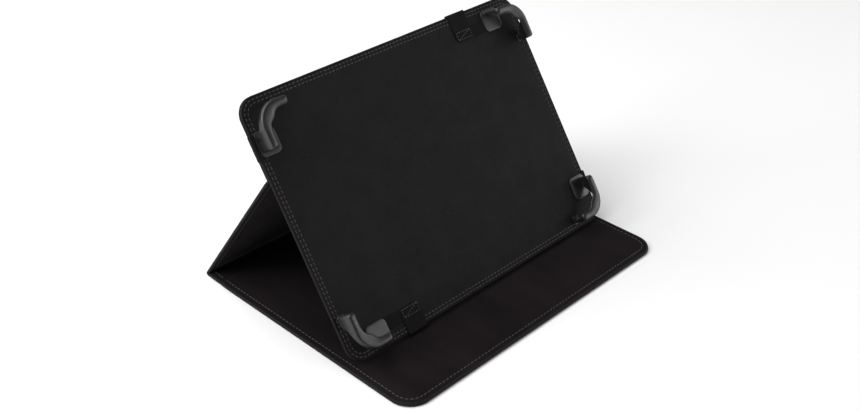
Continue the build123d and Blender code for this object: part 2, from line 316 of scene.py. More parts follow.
def panel(name, corners, profile, matrix, materials, shares=None, groove_at=None):
    """A covered board. profile lists (inset, z, groove depth, material index) from the lower
    middle, round the rim, to the upper middle; groove_at says how deep a groove is at a point."""
    xs, ys = [c[0] for c in corners], [c[1] for c in corners]
    centre_y = (min(ys) + max(ys)) / 2
    reach = max(0.0, (max(xs) - min(xs) - max(ys) + min(ys)) / 2)
    points, index_of_ring = [], []

    def add_ring(loop, z, groove, index, wave=0.0):
        for x, y in loop:
            sunk = groove * (groove_at(x, y) if groove_at else 1.0)
            points.append((x, y, z - sunk + wave * undulation(x, y)))
        index_of_ring.append(index)

    def add_fill(entry, order):
        inset, z, _, index = entry
        outer = loop_of(corners, inset, shares)
        middle = np.column_stack((np.clip(outer[:, 0], -reach, reach), np.full(len(outer), centre_y)))
        for k in order:
            share = FILL_REACH * k / FILL_RINGS
            swell = UNEVEN * min(1.0, k / 2, (FILL_RINGS - k) / 3)
            add_ring(outer + (middle - outer) * share, z, 0.0, index, swell)

    add_fill(profile[0], range(FILL_RINGS, 0, -1))
    for inset, z, groove, index in profile:
        add_ring(loop_of(corners, inset, shares), z, groove, index)
    add_fill(profile[-1], range(1, FILL_RINGS + 1))
    size = len(points) // len(index_of_ring)
    obj = build(name, points, rings_to_faces(len(index_of_ring), size), matrix)
    for material in materials:
        obj.data.materials.append(material)
    for number, polygon in enumerate(obj.data.polygons):
        polygon.material_index = index_of_ring[number // size]
    middle_z = (profile[0][1] + profile[-1][1]) / 2
    back = np.linalg.inv(matrix)

    def cap_index(centre):
        local = back @ np.append(np.array(centre) / MM, 1.0)
        return index_of_ring[-1] if local[2] > middle_z else index_of_ring[0]

    return cap(obj, cap_index)


# ---------------- folds and straps
EDGE_STEPS = 8


def band(name, outer, inner, half_width, rim, matrix=TABLE, materials=(), columns=12):
    """A strip of varying thickness across local X. outer and inner are its two faces' lines, as
    (y, z) points in pairs. Material 0 is the inner face and 1 the rest."""
    outer, inner = np.array(outer, float), np.array(inner, float)
    middle = (outer + inner) / 2
    far = distances(middle)
    flat = half_width - rim
    across = np.linspace(-flat, flat, columns + 1)
    around = [math.pi * k / EDGE_STEPS for k in range(1, EDGE_STEPS)]
    edge = [(flat + rim * math.sin(a), -math.cos(a)) for a in around]
    ring = [(x, -1.0) for x in across] + edge
    ring += [(x, 1.0) for x in across[::-1]] + [(-x, -side) for x, side in edge]
    points, uvs = [], []
    for out, into, along in zip(outer, inner, far):
        for x, side in ring:
            y, z = (out + into) / 2 + (into - out) / 2 * side
            points.append((x, y, z))
            uvs.append((x, along))
    size = len(ring)
    obj = build(name, points, rings_to_faces(len(outer), size), matrix, uvs=uvs)
    for material in materials:
        obj.data.materials.append(material)
    if len(materials) > 1:
        upper = columns + 1 + len(edge)
        for number, polygon in enumerate(obj.data.polygons):
            inside = upper <= number % size < upper + columns
            polygon.material_index = 0 if inside else 1
    return cap(obj, lambda centre: len(materials) - 1)


# ---------------- stitches
STITCH_RINGS = 7
STITCH_SIDES = 6
STITCH_SLANT = 0.10
STITCH_SCATTER = 0.03
STITCH_CROWN = 0.20
STITCH_DIP = 0.42
STITCH_FLATNESS = 0.75
STITCH_TIP = 0.05
HEADING_REACH = 0.3


def resample(path, pitch):
    """Evenly spaced points on a polyline, with the direction of the line at each of them."""
    path = np.array(path, float)
    far = distances(path)
    count = max(1, int(round(far[-1] / pitch)))
    at = (np.arange(count) + 0.5) * far[-1] / count
    heading = points_at(path, far, at + HEADING_REACH) - points_at(path, far, at - HEADING_REACH)
    return points_at(path, far, at), heading / np.linalg.norm(heading, axis=1)[:, None]


def stitch_row(name, path, up, matrix, material, pitch=3.5, length=2.6, width=0.62):
    """A row of thread stitches on a path of (x, y, z) points; up is the local face normal."""
    up = np.array(up, float)
    spots, headings = resample(path, pitch)
    points, faces = [], []
    draw = np.random.default_rng(len(spots) + int(pitch * 10))
    for spot, heading in zip(spots, headings):
        first = len(points)
        side = np.cross(up, heading)
        slant = STITCH_SLANT + draw.normal(0, STITCH_SCATTER)
        reach = length * (1 + draw.normal(0, STITCH_SCATTER)) / 2
        for ring in range(STITCH_RINGS):
            t = -1 + 2 * ring / (STITCH_RINGS - 1)
            fullness = max(0.0, 1 - abs(t) ** 3.2) * (1 - STITCH_TIP) + STITCH_TIP
            girth = width / 2 * math.sqrt(fullness)
            height = STITCH_CROWN - STITCH_DIP * t ** 4
            middle = spot + heading * reach * t + side * slant * reach * t + up * height
            for k in range(STITCH_SIDES):
                angle = 2 * math.pi * k / STITCH_SIDES
                around = side * math.cos(angle) + up * STITCH_FLATNESS * math.sin(angle)
                points.append(middle + girth * around)
        faces += [
            tuple(first + v for v in quad) for quad in rings_to_faces(STITCH_RINGS, STITCH_SIDES)
        ]
        faces.append(tuple(range(first, first + STITCH_SIDES)))
        last = first + (STITCH_RINGS - 1) * STITCH_SIDES
        faces.append(tuple(range(last, last + STITCH_SIDES)))
    return build(name, points, faces, matrix, material)


# ---------------- materials
def node_material(name, colour, rough, specular, sheen=0.0, sheen_rough=0.4):
    """A material whose constants sit on the shader; its other sockets are linked by the caller."""
    material = bpy.data.materials.new(name)
    material.use_nodes = True
    tree = material.node_tree
    shader = tree.nodes["Principled BSDF"]
    shader.inputs["Base Color"].default_value = (*colour, 1)
    shader.inputs["Roughness"].default_value = rough
    shader.inputs["Specular IOR Level"].default_value = specular
    shader.inputs["Sheen Weight"].default_value = sheen
    shader.inputs["Sheen Roughness"].default_value = sheen_rough
    return material, tree, shader


def add(tree, kind, **settings):
    """A node; settings name its sockets' values, with _ for a space, or its own properties."""
    node = tree.nodes.new(kind)
    for key, value in settings.items():
        if hasattr(node, key):
            setattr(node, key, value)
        else:
            node.inputs[key.replace("_", " ")].default_value = value
    return node


def noise(tree, where, scale, detail=3.0, rough=0.5):
    """A noise texture in metres on the given coordinates."""
    node = add(tree, "ShaderNodeTexNoise", Scale=scale, Detail=detail, Roughness=rough)
    tree.links.new(where, node.inputs["Vector"])
    return node.outputs["Fac"]


def ramp(tree, value, low, high, low_to, high_to):
    """A value mapped from one range to another, smoothly, and clamped."""
    node = add(tree, "ShaderNodeMapRange", interpolation_type="SMOOTHSTEP")
    for socket, number in zip(node.inputs[1:5], (low, high, low_to, high_to)):
        socket.default_value = number
    tree.links.new(value, node.inputs["Value"])
    return node.outputs["Result"]


def calc(tree, operation, a, b):
    """A math node on sockets or numbers."""
    node = add(tree, "ShaderNodeMath", operation=operation)
    for socket, value in zip(node.inputs, (a, b)):
        if isinstance(value, (int, float)):
            socket.default_value = value
        else:
            tree.links.new(value, socket)
    return node.outputs["Value"]


def tint(tree, value, low, high):
    """A colour between two, by a value from 0 to 1."""
    node = add(tree, "ShaderNodeMix", data_type="RGBA")
    tree.links.new(value, node.inputs["Factor"])
    node.inputs[6].default_value = (*low, 1)
    node.inputs[7].default_value = (*high, 1)
    return node.outputs[2]


def bump(tree, shader, height, distance):
    """Bump of the given depth in metres on the shader."""
    node = add(tree, "ShaderNodeBump", Strength=1.0, Distance=distance)
    tree.links.new(height, node.inputs["Height"])
    tree.links.new(node.outputs["Normal"], shader.inputs["Normal"])


def scaled(colour, by):
    """A colour made darker or lighter."""
    return tuple(channel * by for channel in colour)


def place_on_object(tree):
    """The piece's own coordinates, in metres."""
    return add(tree, "ShaderNodeTexCoord").outputs["Object"]


def weighted(tree, *terms):
    """The sum of (value, weight) terms."""
    total = 0.0
    for value, weight in terms:
        total = calc(tree, "ADD", total, calc(tree, "MULTIPLY", value, weight))
    return total


def paint(tree, shader, shade, colour, dark, light):
    """Base colour from dark to light strengths of a colour, by shade."""
    mixed = tint(tree, shade, scaled(colour, dark), scaled(colour, light))
    tree.links.new(mixed, shader.inputs["Base Color"])


def painted_edge_highlight(tree):
    """A painted highlight on convex edges: 1 on them and 0 elsewhere, broken up by noise."""
    # painted highlight: convex edges are made lighter in the base colour
    edges = ramp(tree, add(tree, "ShaderNodeNewGeometry").outputs["Pointiness"], 0.51, 0.58, 0, 1)
    broken = ramp(tree, noise(tree, place_on_object(tree), 900), 0.35, 0.65, 0.3, 1)
    return calc(tree, "MULTIPLY", edges, broken)


LEATHER_GRAIN = 0.00085
LEATHER_DEPTH = 0.00011
LEATHER_ROUGH = 0.60


def leather_material(name, colour):
    """Fine grained leatherette: rounded cells with creases between them, and a painted highlight on its convex
    edges.
    """
    material, tree, shader = node_material(name, colour, LEATHER_ROUGH, 0.14)
    where = place_on_object(tree)
    warp = add(tree, "ShaderNodeTexNoise", Scale=1 / LEATHER_GRAIN * 0.6, Detail=2.0)
    tree.links.new(where, warp.inputs["Vector"])
    shift = add(tree, "ShaderNodeVectorMath", operation="SCALE")
    shift.inputs["Scale"].default_value = LEATHER_GRAIN * 0.9
    tree.links.new(warp.outputs["Color"], shift.inputs[0])
    moved = add(tree, "ShaderNodeVectorMath", operation="ADD")
    tree.links.new(where, moved.inputs[0])
    tree.links.new(shift.outputs["Vector"], moved.inputs[1])
    cells = add(tree, "ShaderNodeTexVoronoi", feature="DISTANCE_TO_EDGE", Scale=1 / LEATHER_GRAIN)
    tree.links.new(moved.outputs["Vector"], cells.inputs["Vector"])
    pebble = ramp(tree, cells.outputs["Distance"], 0.0, 0.32, 0, 1)
    bump(tree, shader, weighted(tree, (pebble, 1.0), (noise(tree, where, 420), 0.7)), LEATHER_DEPTH)
    mottle = ramp(tree, noise(tree, where, 55, 5.0, 0.6), 0.3, 0.7, 0, 1)
    # the colour is lighter on convex edges: a painted highlight
    shade = weighted(tree, (pebble, 0.55), (mottle, 0.25), (painted_edge_highlight(tree), 0.5))
    paint(tree, shader, shade, colour, 0.72, 1.35)
    smoothness = weighted(tree, (pebble, 0.10), (mottle, 0.06))
    rough = calc(tree, "SUBTRACT", LEATHER_ROUGH + 0.10, smoothness)
    tree.links.new(rough, shader.inputs["Roughness"])
    return material


def lining_material(name, colour):
    """Brushed microfibre: a short nap with faint brushed patches."""
    material, tree, shader = node_material(name, colour, 0.92, 0.06, sheen=0.05, sheen_rough=0.38)
    shader.inputs["Sheen Tint"].default_value = (0.80, 0.74, 0.78, 1)
    where = place_on_object(tree)
    nap = noise(tree, where, 2600, 2.0, 0.6)
    stretch = add(tree, "ShaderNodeMapping")
    stretch.inputs["Scale"].default_value = (1.0, 0.32, 1.0)
    stretch.inputs["Rotation"].default_value = (0.0, 0.0, 0.35)
    tree.links.new(where, stretch.inputs["Vector"])
    brushed = noise(tree, stretch.outputs["Vector"], 46, 4.0, 0.55)
    soft = weighted(tree, (brushed, 0.6), (noise(tree, where, 14, 3.0, 0.5), 0.4))
    shade = weighted(tree, (ramp(tree, soft, 0.36, 0.64, 0.0, 0.62), 1.0), (nap, 0.38))
    paint(tree, shader, shade, colour, 0.70, 1.32)
    bump(tree, shader, weighted(tree, (nap, 1.0), (brushed, 1.6)), 0.00007)
    tree.links.new(ramp(tree, soft, 0.35, 0.65, 0.96, 0.84), shader.inputs["Roughness"])
    return material


def rubber_material(name, colour):
    """Soft-touch rubber: satin, very finely textured, with faint handling marks and a painted highlight on its
    convex edges.
    """
    material, tree, shader = node_material(name, colour, 0.36, 0.5, sheen=0.05, sheen_rough=0.3)
    where = place_on_object(tree)
    fine = noise(tree, where, 5200, 2.0, 0.6)
    marks = ramp(tree, noise(tree, where, 130, 4.0, 0.6), 0.35, 0.7, 0, 1)
    # the colour is lighter on convex edges: a painted highlight
    shade = weighted(tree, (marks, 0.4), (fine, 0.2), (painted_edge_highlight(tree), 0.4))
    paint(tree, shader, shade, colour, 0.85, 1.25)
    tree.links.new(ramp(tree, marks, 0, 1, 0.32, 0.42), shader.inputs["Roughness"])
    bump(tree, shader, fine, 0.000025)
    return material


RIB_PITCH = 0.9
COLUMN_PITCH = 0.75


def webbing_material(name, colour):
    """Elastic webbing: ribs across its width, U, and knitted columns along its length, V."""
    material, tree, shader = node_material(name, colour, 0.85, 0.1, sheen=0.02, sheen_rough=0.4)
    parts = add(tree, "ShaderNodeSeparateXYZ")
    tree.links.new(add(tree, "ShaderNodeUVMap", uv_map="UVMap").outputs["UV"], parts.inputs["Vector"])
    waves = [
        calc(tree, "SINE", calc(tree, "MULTIPLY", parts.outputs[axis], 2 * math.pi / pitch), 0)
        for axis, pitch in (("Y", RIB_PITCH), ("X", COLUMN_PITCH))
    ]
    fuzz = noise(tree, place_on_object(tree), 3000, 2.0)
    height = weighted(tree, (waves[0], 0.34), (waves[1], 0.16), (0.5, 1.0), (fuzz, 0.25))
    bump(tree, shader, height, 0.00022)
    paint(tree, shader, height, colour, 0.55, 1.6)
    tree.links.new(ramp(tree, fuzz, 0.3, 0.7, 0.78, 0.92), shader.inputs["Roughness"])
    return material


def thread_material(name, colour):
    """Twisted thread, unevenly dyed."""
    material, tree, shader = node_material(name, colour, 0.7, 0.35, sheen=0.2)
    where = place_on_object(tree)
    twist = add(tree, "ShaderNodeTexWave", Scale=900.0, Distortion=1.5, Detail=1.0)
    twist.bands_direction = "DIAGONAL"
    tree.links.new(where, twist.inputs["Vector"])
    uneven = noise(tree, where, 260)
    paint(tree, shader, weighted(tree, (twist.outputs["Fac"], 0.5), (uneven, 0.5)), colour, 0.6, 1.3)
    tree.links.new(ramp(tree, uneven, 0.3, 0.7, 0.62, 0.78), shader.inputs["Roughness"])
    bump(tree, shader, twist.outputs["Fac"], 0.00006)
    return material


def board_material(name, colour):
    """Grey board with flecks of fibre."""
    material, tree, shader = node_material(name, colour, 0.9, 0.2)
    flecks = ramp(tree, noise(tree, place_on_object(tree), 1400, 4.0, 0.7), 0.35, 0.7, 0, 1)
    paint(tree, shader, flecks, colour, 0.7, 1.2)
    tree.links.new(ramp(tree, flecks, 0, 1, 0.95, 0.82), shader.inputs["Roughness"])
    bump(tree, shader, flecks, 0.00004)
    return material


leatherette = leather_material("leatherette_black", (0.0078, 0.0066, 0.0069))
lining = lining_material("lining_charcoal", (0.0080, 0.0060, 0.0070))
rubber = rubber_material("grip_rubber_satin", (0.0105, 0.0095, 0.0102))
webbing = webbing_material("elastic_webbing_black", (0.0058, 0.0055, 0.0058))
thread = thread_material("thread_grey", (0.060, 0.054, 0.055))
board = board_material("stiffener_board_grey", (0.2, 0.18, 0.16))
for node_name, node in frame["nodes"].items():
    if node_name.endswith("_board"):
        for slot in node.material_slots:
            slot.material = board


# ---------------- the panels
def half_width_at(y):
    """Half of the cover's width at a place along Y, where the sides draw in behind the taper."""
    taper = (y - front_y - TAPER_START) / (rear_fold[1] - front_y - TAPER_START)
    return (COVER_WIDTH - (COVER_WIDTH - REAR_WIDTH) * max(0.0, taper)) / 2


TRIM_DROP = 0.126
RIM_STEPS = 13
GROOVE_SHAPE = ((1.1, 0.0), (0.5, 0.7), (0.0, 1.0), (-0.5, 0.7), (-1.1, 0.0))


def rim_profile(low, high, rim, groove=0.0, low_groove=0.0, groove_insets=()):
    """Profile of a covered board's rim. Material 0 is the skin and 1 the face inside the trim."""
    lows, highs = [], []
    for inset in sorted(groove_insets, reverse=True):
        for step, depth in GROOVE_SHAPE:
            lows.append((inset + step, low, -low_groove * depth, 0))
            highs.append((inset + step, high, groove * depth, 1))
    round_up = []
    for angle in np.linspace(0, math.pi, RIM_STEPS):
        reach = rim * (1 - math.sin(angle))
        middle, half = (low + high) / 2, (high - low) / 2
        round_up.append((reach, middle - half * math.cos(angle), 0.0, 0))
    trims = [
        (rim + 0.3, high, 0.0, 0), (rim + 0.42, high - TRIM_DROP, 0.0, 1), (rim + 0.7, high, 0.0, 1),
    ]
    return lows + [(rim + 0.5, low, 0.0, 0)] + round_up + trims + highs[::-1]


STITCH_INSET = 5.0
RIM_R = 1.1
THIN_RIM_R = 0.9
UPPER_RIM_R = 0.6
GROOVE = 0.28
SHARP = 0.5
KINK_R = 8.0
UPPER_LOW_R = 1.0
GROOVE_FADE = 2.5

front_end = front_fold[1] - FRONT_GAP
spine_start = front_fold[1] + FRONT_GAP
spine_end = rear_fold[1] - SPINE_REAR_GAP
kink_y = front_y + TAPER_START


def away_from(edge):
    """1 in front of an edge across Y, fading to 0 at it."""
    return lambda x, y: min(1.0, max(0.0, (edge - y) / GROOVE_FADE - 0.6))


cover_corners = [
    (-COVER_WIDTH / 2, front_y, COVER_CORNER_R),
    (COVER_WIDTH / 2, front_y, COVER_CORNER_R),
    (COVER_WIDTH / 2, kink_y, KINK_R),
    (half_width_at(front_end), front_end, SHARP),
    (-half_width_at(front_end), front_end, SHARP),
    (-COVER_WIDTH / 2, kink_y, KINK_R),
]
FOLD_SHARE = 0.12
cover_shares = [1, 1, 1, FOLD_SHARE, 1, 1]
front_cover = panel(
    "front_cover_covered_panel", cover_corners,
    rim_profile(0.0, COVER_THICK, RIM_R, GROOVE, 0.15, groove_insets=(STITCH_INSET,)),
    TABLE, (leatherette, lining), cover_shares, away_from(front_end - 4),
)
spine_corners = [
    (-half_width_at(spine_start), spine_start, SHARP),
    (half_width_at(spine_start), spine_start, SHARP),
    (half_width_at(spine_end), spine_end, SHARP),
    (-half_width_at(spine_end), spine_end, SHARP),
]
spine = panel(
    "spine_covered_panel", spine_corners, rim_profile(0.0, COVER_THICK, RIM_R),
    TABLE, (leatherette, lining), [FOLD_SHARE, 1, FOLD_SHARE, 1],
)
half_panel = PANEL_WIDTH / 2
leg_low, leg_high = LEG_LOW_GAP, leg_length - LEG_TOP_GAP
half_leg = REAR_WIDTH / 2
leg_corners = rectangle(half_leg, leg_low, leg_high, SHARP, SHARP)
leg_panel = panel(
    "rear_leg_covered_panel", leg_corners,
    rim_profile(-LEG_THICK / 2, LEG_THICK / 2, THIN_RIM_R, 0.15, 0.18, groove_insets=(STITCH_INSET,)),
    LEG, (leatherette, lining), [FOLD_SHARE, 1, FOLD_SHARE, 1],
)
holder_corners = rectangle(half_panel, HOLDER_BOTTOM, HOLDER_TOP, PANEL_CORNER_R, PANEL_CORNER_R)
HOLDER_ROWS = (2.6, 5.2)
holder_panel = panel(
    "holder_covered_panel", holder_corners,
    rim_profile(-HOLDER_BACK, -FACE_DEPTH, THIN_RIM_R, 0.16, 0.1, groove_insets=HOLDER_ROWS),
    HOLDER, (leatherette, leatherette),
)
upper_low = TOP_FOLD_HEIGHT + UPPER_GAP
upper_corners = rectangle(half_panel, upper_low, HOLDER_TOP, UPPER_LOW_R, PANEL_CORNER_R)
upper_panel = panel(
    "upper_back_covered_panel", upper_corners,
    rim_profile(-UPPER_BACK, -HOLDER_BACK, UPPER_RIM_R, 0.0, 0.16, groove_insets=(STITCH_INSET,)),
    HOLDER, (leatherette, leatherette), [FOLD_SHARE, 1, 1, 1],
)
for piece, body, slot, replaced in (
    (front_cover, "front_cover", "leatherette", ("front_cover_skin", "front_cover_lining")),
    (spine, "spine", "leatherette", ("spine_skin", "spine_lining")),
    (leg_panel, "rear_leg", "leatherette", ("leg_skin", "leg_lining")),
    (holder_panel, "holder", "leatherette", ("holder_face", "holder_back_skin")),
    (upper_panel, "holder", "leatherette", ("upper_back_skin",)),
):
    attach(piece, body)
    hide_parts(*replaced)


# ---------------- the folds
BURIED = 0.6
TUCK = 0.03
NARROWER = 0.04
OUTER_R = 1.9
half_leg_thick = LEG_THICK / 2


def on_leg(along, inward):
    """A place (y, z) on the leg: along it from the rear fold, and in from its middle."""
    return to_table(LEG, [(0, along, inward)])[0][1:]


def on_holder(height, depth):
    """A place (y, z) on the holder: above the tablet's middle, and behind the glass."""
    return to_table(HOLDER, [(0, height, -depth)])[0][1:]


def front_fold_strip():
    """The strip between cover and spine, a little creased along its middle."""
    steps = np.linspace(-1, 1, 11)
    ys = front_fold[1] + steps * (FRONT_GAP + BURIED)
    lows = [TUCK + 0.30 * math.exp(-((t / 0.45) ** 2)) for t in steps]
    highs = [COVER_THICK - TUCK - 0.05 * math.exp(-((t / 0.5) ** 2)) for t in steps]
    return band(
        "front_fold_strip", list(zip(ys, lows)), list(zip(ys, highs)),
        half_width_at(front_fold[1]) - NARROWER, RIM_R, materials=(lining, leatherette),
    )


def rear_fold_strip():
    """The strip from the spine round into the leg; its outside is an arc, tangent to both."""
    slope = math.atan2(leg_dir[2], leg_dir[1])
    centre = on_leg(0, OUTER_R - half_leg_thick)
    centre = centre + (OUTER_R - centre[1]) / leg_dir[2] * leg_dir[1:]
    outer = [(spine_end - BURIED, TUCK), (spine_end + 1.0, 0.05), (centre[0] - 0.6, TUCK)]
    outer += arc(centre, OUTER_R, -math.pi / 2, slope - math.pi / 2, 9)
    outer += [on_leg(t, -half_leg_thick + TUCK) for t in (2.2, 3.2, leg_low + BURIED)]
    inner = smooth([
        (spine_end - BURIED, COVER_THICK - TUCK), (spine_end + 0.5, COVER_THICK - 0.1),
        (spine_end + 1.2, 2.35), on_leg(2.0, half_leg_thick - 0.55),
        on_leg(leg_low - 0.8, half_leg_thick - 0.1), on_leg(leg_low + BURIED, half_leg_thick - TUCK),
    ])
    return band(
        "rear_fold_strip", run(outer, 22), run(inner, 22),
        half_leg - NARROWER, THIN_RIM_R, materials=(lining, leatherette),
    )


def top_fold_strip():
    """The strip from the leg's top over into the upper back."""
    outer = smooth([
        on_leg(leg_high - BURIED, -half_leg_thick + TUCK), on_leg(leg_high + 0.4, -half_leg_thick + 0.1),
        on_holder(TOP_FOLD_HEIGHT + 0.9, UPPER_BACK - 0.35),
        on_holder(upper_low + BURIED + 0.6, UPPER_BACK - TUCK),
    ])
    inner = smooth([
        on_leg(leg_high - BURIED, half_leg_thick - TUCK), on_leg(leg_high + 0.3, half_leg_thick - 0.05),
        on_leg(leg_length - 0.2, half_leg_thick + 0.1),
        on_holder(TOP_FOLD_HEIGHT + 0.3, HOLDER_BACK + 0.12),
        on_holder(upper_low + BURIED + 0.6, HOLDER_BACK + 0.05),
    ])
    return band(
        "top_fold_strip", run(outer, 20), run(inner, 20),
        half_panel - NARROWER, UPPER_RIM_R, materials=(lining, leatherette),
    )


front_web = front_fold_strip()
rear_web = rear_fold_strip()
top_web = top_fold_strip()
along_leg = Vector(leg_dir)
holder_up = Vector(HOLDER[:3, 1])
along_y = Vector((0, 1, 0))
for piece, bodies, fold, before, after, replaced in (
    (front_web, ("front_cover", "spine"), front_fold, along_y * -1.5, along_y * 1.5, "front_fold_web"),
    (rear_web, ("spine", "rear_leg"), rear_fold, along_y * -4.0, along_leg * 3.6, "rear_fold_web"),
    (top_web, ("rear_leg", "holder"), top_fold, along_leg * -1.5, holder_up * 1.7, "top_fold_web"),
):
    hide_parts(replaced)
    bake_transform(piece)

# ---------------- stitches
SEAM_CLEAR = 0.3
# How far each row's path lies under the face that it is sewn through.
SUNK = {
    "cover": 0.16, "cover_below": 0.26, "spine": 0.1, "leg_inside": 0.2, "leg_outside": 0.24,
    "upper_back": 0.18, "face": 0.2, "holder_back": 0.15,
}
UP, DOWN = (0, 0, 1), (0, 0, -1)

cover_run = inner_run(loop_of(cover_corners, STITCH_INSET, cover_shares), lambda x, y: y < front_end - 6)
run_end = half_width_at(front_end) - STITCH_INSET
first_end, last_end = (
    (math.copysign(run_end, point[0]), front_end - SEAM_CLEAR) for point in (cover_run[0], cover_run[-1])
)
cover_run = [first_end, *cover_run, last_end]
spine_ends = (spine_start + SEAM_CLEAR, spine_end - SEAM_CLEAR)
spine_left = [(-half_width_at(y) + STITCH_INSET, y) for y in spine_ends]
spine_right = [(-x, y) for x, y in spine_left]
leg_loop = closed(loop_of(leg_corners, STITCH_INSET))
upper_loop = closed(loop_of(upper_corners, STITCH_INSET))
rows = [
    ("front_cover", TABLE, lift(cover_run, COVER_THICK - SUNK["cover"]), UP),
    ("front_cover", TABLE, lift(cover_run, SUNK["cover_below"]), DOWN),
    ("spine", TABLE, lift(spine_left, COVER_THICK - SUNK["spine"]), UP),
    ("spine", TABLE, lift(spine_right, COVER_THICK - SUNK["spine"]), UP),
    ("rear_leg", LEG, lift(leg_loop, half_leg_thick - SUNK["leg_inside"]), UP),
    ("rear_leg", LEG, lift(leg_loop, -half_leg_thick + SUNK["leg_outside"]), DOWN),
    ("holder", HOLDER, lift(upper_loop, -UPPER_BACK + SUNK["upper_back"]), DOWN),
]
for inset in HOLDER_ROWS:
    row = closed(loop_of(holder_corners, inset))
    rows.append(("holder", HOLDER, lift(row, -FACE_DEPTH - SUNK["face"]), UP))
back_row = inner_run(loop_of(holder_corners, HOLDER_ROWS[1]), lambda x, y: y < upper_low - 3)
rows.append(("holder", HOLDER, lift(back_row, -HOLDER_BACK + SUNK["holder_back"]), DOWN))
threads = {}
for number, (body, matrix, path, side) in enumerate(rows):
    piece = stitch_row(f"stitches_{body}_{number}", path, side, matrix, thread)
    threads.setdefault(body, []).append(piece)
for body, pieces in threads.items():
    piece = join(f"stitching_{body}", pieces) if len(pieces) > 1 else pieces[0]
    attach(piece, body)

# ---------------- corner grips
LONG_LEG = 24.0
SHORT_LEG = 28.0
WALL_IN = 0.4
WALL_OUT = 2.8
LIP_TOP = 2.8
LIP_UNDER = 0.35
LIP_REACH = 3.4
WALL_FLARE = 0.7
LIP_SPREAD = 15.0
LIP_CORNER_R = 18.0
ARCH_TOP = 1.0
ARCH_HALF = 14.5
FOOT_BACK = 10.5
ARCH_DROP = FOOT_BACK - ARCH_TOP
ARCH_R = (ARCH_HALF ** 2 + ARCH_DROP ** 2) / (2 * ARCH_DROP)
TIP_ROUND = 2.4
TIP_STATIONS = (0, 0.25, 0.6, 1.1, 1.8, 2.8)
LEG_FROM = 4.0
LEG_STATIONS = 36
FLARE_HEIGHT = 1.5
TAB_ROUND = 0.5
# Flat tabs under the legs: start and end run from the tablet's corner along its edge, and outer and
# inner from the edge, outwards and inwards.
FOOT = {"start": 12.5, "end": 31.0, "outer": 5.1, "inner": 12.0, "thick": 0.75, "round": 4.0}
EAR = {"length": 6.0, "outer": 4.0, "inner": 3.0, "thick": 0.75, "round": 1.6}


def arch_depth(point):
    """Depth of the wall's lower edge at a point of the tablet's outline, under the arch or beside it."""
    away = abs((point[0] - TABLET_HALF_WIDTH) - (point[1] - TABLET_HALF_HEIGHT)) / math.sqrt(2)
    if away >= ARCH_HALF:
        return FOOT_BACK
    return ARCH_TOP + ARCH_R - math.sqrt(ARCH_R ** 2 - away ** 2)


def grip_tab(name, side_x, side_y, along_top, tab):
    """A flat tab with a rounded rim that lies on the holder's face."""
    far, near = TABLET_HALF_WIDTH, TABLET_HALF_HEIGHT
    if along_top:
        xs, ys = (far - tab["start"], far - tab["end"]), (near + tab["outer"], near - tab["inner"])
    else:
        xs, ys = (far + tab["outer"], far - tab["inner"]), (near - tab["start"], near - tab["end"])
    middle = to_table(HOLDER, [(sum(xs) / 2 * side_x, sum(ys) / 2 * side_y, 0)])[0]
    half_x, half_y = abs(xs[1] - xs[0]) / 2, abs(ys[1] - ys[0]) / 2
    corners = rectangle(half_x, -half_y, half_y, tab["round"], tab["round"])
    low, high = -FOOT_BACK, tab["thick"] - FOOT_BACK
    profile = [(0.9, low, 0.0, 0), (0.35, low, 0.0, 0), (0.1, low + 0.08, 0.0, 0)]
    for angle in np.linspace(0, math.pi / 2, 6):
        drawn, risen = 1 - math.cos(angle), math.sin(angle) - 1
        profile.append((TAB_ROUND * drawn, high + TAB_ROUND * risen, 0.0, 0))
    profile.append((1.2, high + 0.04, 0.0, 0))
    return panel(name, corners, profile, place(middle, HOLDER[:3, 0], HOLDER[:3, 2]), (rubber,))


def grip_stations():
    """(point, outward normal, distance to the leg's end, signed path length) along a grip, for the
    top right corner, from the end on the side edge to the end on the top edge."""
    centre = np.array((TABLET_HALF_WIDTH - TABLET_CORNER_R, TABLET_HALF_HEIGHT - TABLET_CORNER_R))
    half_arc = TABLET_CORNER_R * math.pi / 4
    side_end, top_end = (half_arc + leg - TABLET_CORNER_R for leg in (SHORT_LEG, LONG_LEG))
    paths = [d - side_end for d in TIP_STATIONS]
    paths += list(np.linspace(LEG_FROM - side_end, top_end - LEG_FROM, LEG_STATIONS))
    paths += [top_end - d for d in TIP_STATIONS[::-1]]
    stations = []
    for path in paths:
        over = abs(path) - half_arc
        if over <= 0:
            angle = math.pi / 4 + path / TABLET_CORNER_R
            normal = np.array((math.cos(angle), math.sin(angle)))
            point = centre + normal * TABLET_CORNER_R
        elif path < 0:
            normal = np.array((1.0, 0.0))
            point = np.array((TABLET_HALF_WIDTH, centre[1] - over))
        else:
            normal = np.array((0.0, 1.0))
            point = np.array((centre[0] - over, TABLET_HALF_HEIGHT))
        stations.append((point, normal, min(path + side_end, top_end - path), path))
    return stations


def lip_reach_at(path):
    """How far the lip comes in over the glass: more at the corner, where its inner edge is rounder."""
    apex = (LIP_REACH + LIP_CORNER_R - TABLET_CORNER_R) * (math.sqrt(2) - 1)
    return LIP_REACH + apex * (0.5 + 0.5 * math.cos(math.pi * min(1.0, abs(path) / LIP_SPREAD)))


